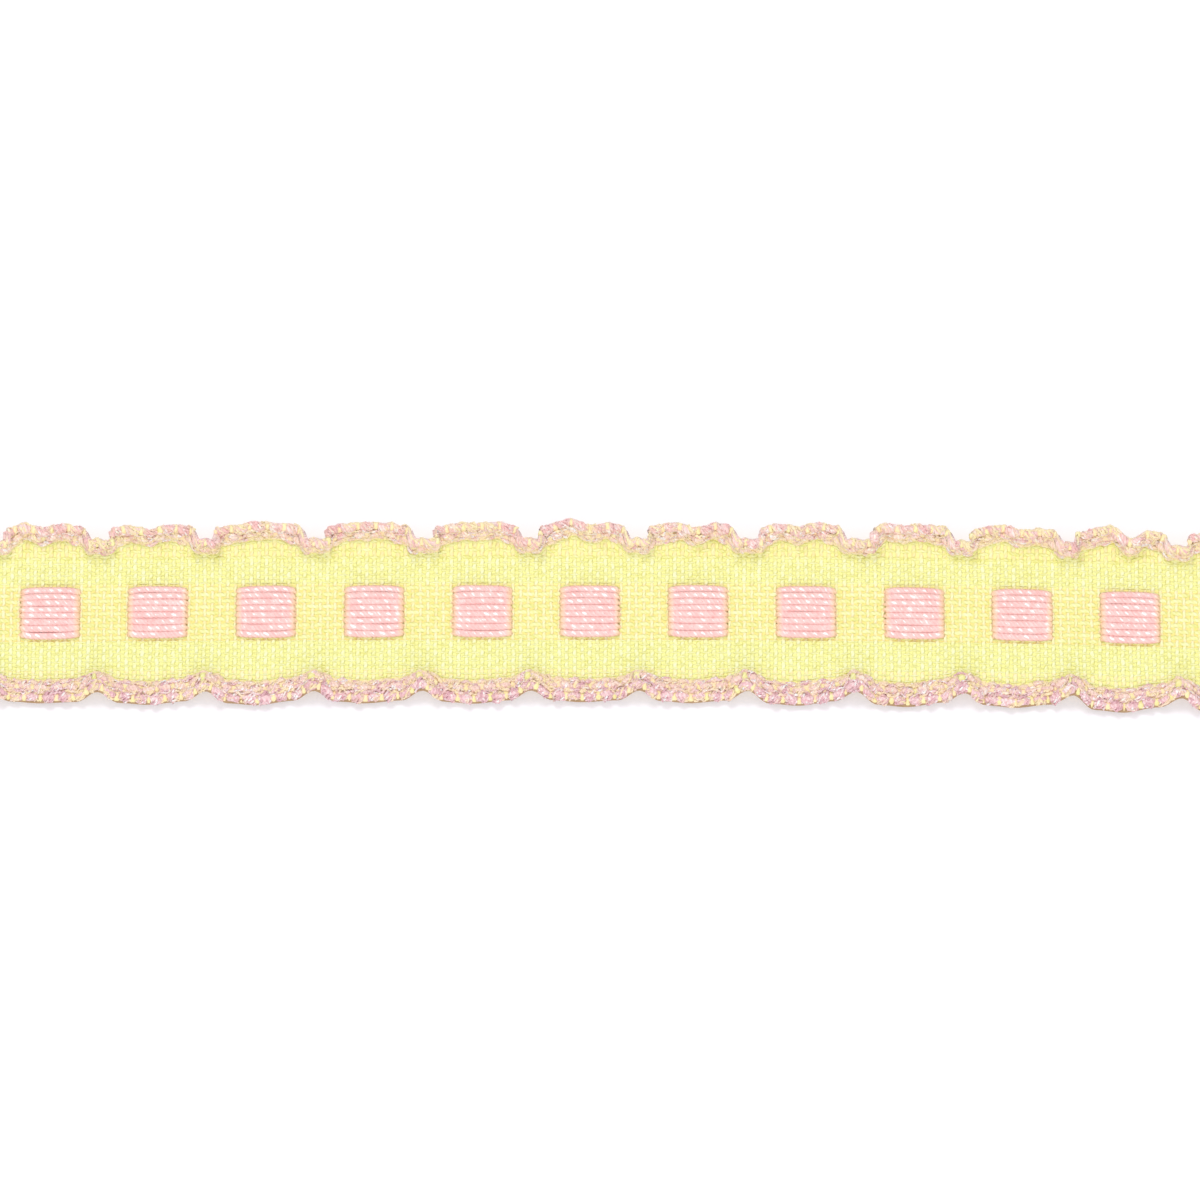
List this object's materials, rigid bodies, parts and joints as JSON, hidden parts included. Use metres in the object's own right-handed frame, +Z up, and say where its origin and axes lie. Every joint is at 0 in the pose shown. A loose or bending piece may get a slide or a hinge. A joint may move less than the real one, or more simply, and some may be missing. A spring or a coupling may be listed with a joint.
{
  "type": "ruffled ribbon trim",
  "caption": "Flat cut length of narrow yellow woven ribbon with raised pink blocks down the middle and a ruffled pink and yellow edging along both sides.",
  "frame": {"origin": "centre of the ribbon's box, on the surface that its flat underside lies on", "axes": "+X along the ribbon's length, +Y across it towards the rolled-up edging, +Z up out of its face"},
  "size_m": [0.1182, 0.0169, 0.0026],
  "materials": {
    "yellow_weave": "soft plain weave of fine yellow yarn",
    "melange_stitches": "knotted pink and yellow yarn, slightly glossy",
    "pink_yarn": "glossy two-ply floating yarns"
  },
  "bodies": {
    "root": {"woven_band": "yellow_weave", "far_ruffle": "melange_stitches", "near_ruffle": "melange_stitches", "pink_block_01": "pink_yarn", "pink_block_02": "pink_yarn", "pink_block_03": "pink_yarn", "pink_block_04": "pink_yarn", "pink_block_05": "pink_yarn", "pink_block_06": "pink_yarn", "pink_block_07": "pink_yarn", "pink_block_08": "pink_yarn", "pink_block_09": "pink_yarn", "pink_block_10": "pink_yarn", "pink_block_11": "pink_yarn", "pink_block_12": "pink_yarn", "pink_block_13": "pink_yarn"}
  },
  "joints": []
}
